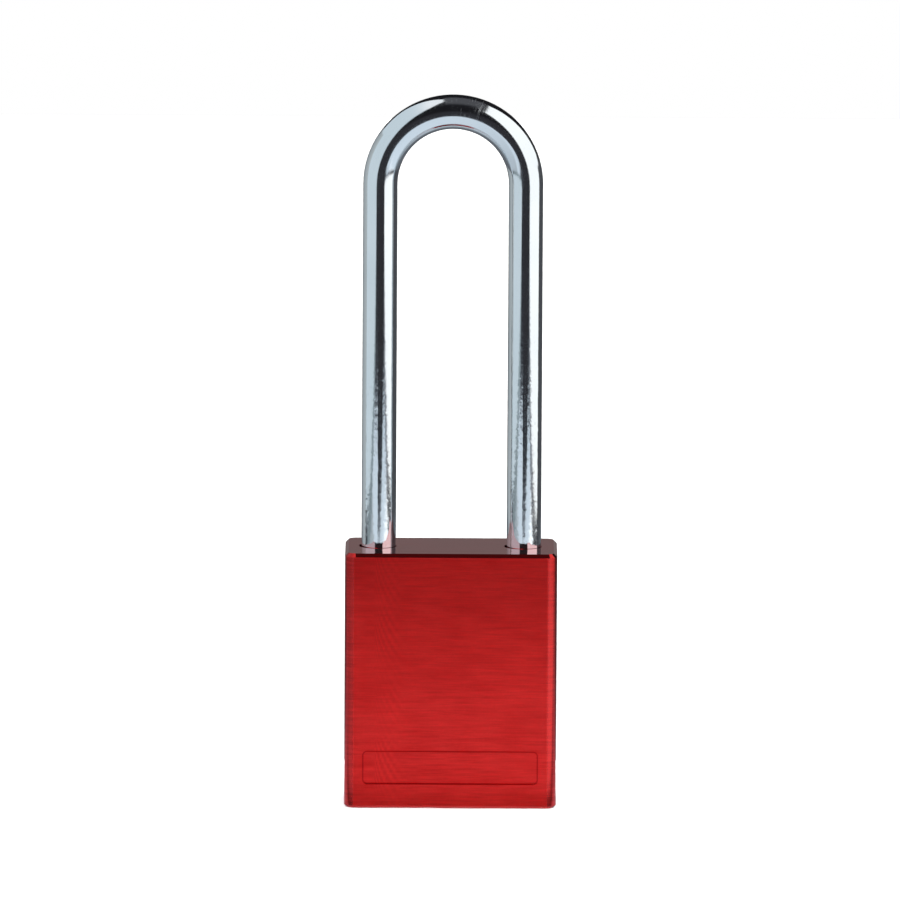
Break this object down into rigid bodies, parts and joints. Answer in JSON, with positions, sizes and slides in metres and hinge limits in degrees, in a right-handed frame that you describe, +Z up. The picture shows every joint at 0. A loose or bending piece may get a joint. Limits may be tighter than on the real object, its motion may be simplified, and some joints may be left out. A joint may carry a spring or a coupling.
{
  "type": "padlock",
  "caption": "Keyed safety padlock with a plain anodised rectangular body, a long round shackle, ball locking and a pin tumbler cylinder in the underside.",
  "frame": {"origin": "centre of the flat bottom face", "axes": "+Z up along the shackle's legs, X across the width, the front face looks towards -Y"},
  "size_m": [0.0382, 0.019, 0.1281],
  "materials": {
    "anodised_body": "red anodised, fine brushed",
    "plated_rod": "bright plated, drawn rod",
    "spring_steel": "drawn wire",
    "ball_steel": "polished",
    "cast_actuator": "sintered, tumbled",
    "brass_housing": "turned",
    "brass_strip": "rolled",
    "brass_plug": "turned and broached",
    "plain_steel": "blackened",
    "pin_brass": "turned",
    "pin_silver": "turned nickel silver"
  },
  "bodies": {
    "case": {"body": "anodised_body", "cylinder_housing": "brass_housing", "chamber_cover": "brass_strip", "retaining_screw": "plain_steel", "shackle_spring": "spring_steel", "pin_spring_1": "spring_steel", "pin_spring_2": "spring_steel", "pin_spring_3": "spring_steel", "pin_spring_4": "spring_steel", "pin_spring_5": "spring_steel", "pin_spring_6": "spring_steel"},
    "shackle": {"shackle": "plated_rod"},
    "plug": {"plug": "brass_plug", "plug_clip": "spring_steel", "actuator": "cast_actuator"},
    "toe_ball": {"toe_ball": "ball_steel"},
    "heel_ball": {"heel_ball": "ball_steel"},
    "key_pin_1": {"key_pin_1": "pin_brass"},
    "driver_pin_1": {"driver_pin_1": "pin_silver"},
    "key_pin_2": {"key_pin_2": "pin_brass"},
    "driver_pin_2": {"driver_pin_2": "pin_silver"},
    "key_pin_3": {"key_pin_3": "pin_brass"},
    "driver_pin_3": {"driver_pin_3": "pin_silver"},
    "key_pin_4": {"key_pin_4": "pin_brass"},
    "driver_pin_4": {"driver_pin_4": "pin_silver"},
    "key_pin_5": {"key_pin_5": "pin_brass"},
    "driver_pin_5": {"driver_pin_5": "pin_silver"},
    "key_pin_6": {"key_pin_6": "pin_brass"},
    "driver_pin_6": {"driver_pin_6": "pin_silver"}
  },
  "joints": [
    {"name": "shackle_lift", "type": "slide", "parent": "case", "child": "shackle", "axis": [0, 0, 1], "range_m": [0, 0.0119], "deforming": ["shackle_spring"]},
    {"name": "plug_turn", "type": "hinge", "parent": "case", "child": "plug", "pos_m": [0, 0, 0.0005], "axis": [0, 0, 1], "range_deg": [-90, 0]},
    {"name": "toe_ball_slide", "type": "slide", "parent": "case", "child": "toe_ball", "axis": [1, 0, 0], "range_m": [0, 0.00164]},
    {"name": "heel_ball_slide", "type": "slide", "parent": "case", "child": "heel_ball", "axis": [-1, 0, 0], "range_m": [0, 0.00075]},
    {"name": "key_pin_1_lift", "type": "slide", "parent": "plug", "child": "key_pin_1", "axis": [0, 1, 0], "range_m": [0, 0.00144]},
    {"name": "key_pin_2_lift", "type": "slide", "parent": "plug", "child": "key_pin_2", "axis": [0, 1, 0], "range_m": [0, 0.00044]},
    {"name": "key_pin_3_lift", "type": "slide", "parent": "plug", "child": "key_pin_3", "axis": [0, 1, 0], "range_m": [0, 0.00104]},
    {"name": "key_pin_4_lift", "type": "slide", "parent": "plug", "child": "key_pin_4", "axis": [0, 1, 0], "range_m": [0, 0.00024]},
    {"name": "key_pin_5_lift", "type": "slide", "parent": "plug", "child": "key_pin_5", "axis": [0, 1, 0], "range_m": [0, 0.00164]},
    {"name": "key_pin_6_lift", "type": "slide", "parent": "plug", "child": "key_pin_6", "axis": [0, 1, 0], "range_m": [0, 0.00074]},
    {"name": "driver_pin_1_lift", "type": "slide", "parent": "case", "child": "driver_pin_1", "axis": [1, 0, 0], "range_m": [0, 0.0017], "stiffness_N_per_m": 120, "springref_m": -0.002, "deforming": ["pin_spring_1"]},
    {"name": "driver_pin_2_lift", "type": "slide", "parent": "case", "child": "driver_pin_2", "axis": [1, 0, 0], "range_m": [0, 0.0017], "stiffness_N_per_m": 120, "springref_m": -0.002, "deforming": ["pin_spring_2"]},
    {"name": "driver_pin_3_lift", "type": "slide", "parent": "case", "child": "driver_pin_3", "axis": [1, 0, 0], "range_m": [0, 0.0017], "stiffness_N_per_m": 120, "springref_m": -0.002, "deforming": ["pin_spring_3"]},
    {"name": "driver_pin_4_lift", "type": "slide", "parent": "case", "child": "driver_pin_4", "axis": [1, 0, 0], "range_m": [0, 0.0017], "stiffness_N_per_m": 120, "springref_m": -0.002, "deforming": ["pin_spring_4"]},
    {"name": "driver_pin_5_lift", "type": "slide", "parent": "case", "child": "driver_pin_5", "axis": [1, 0, 0], "range_m": [0, 0.0017], "stiffness_N_per_m": 120, "springref_m": -0.002, "deforming": ["pin_spring_5"]},
    {"name": "driver_pin_6_lift", "type": "slide", "parent": "case", "child": "driver_pin_6", "axis": [1, 0, 0], "range_m": [0, 0.0017], "stiffness_N_per_m": 120, "springref_m": -0.002, "deforming": ["pin_spring_6"]}
  ],
  "couplings": [
    {"joint": "toe_ball_slide", "follows": "plug_turn", "m_per_rad": -0.001044},
    {"joint": "heel_ball_slide", "follows": "plug_turn", "m_per_rad": -0.000477}
  ]
}
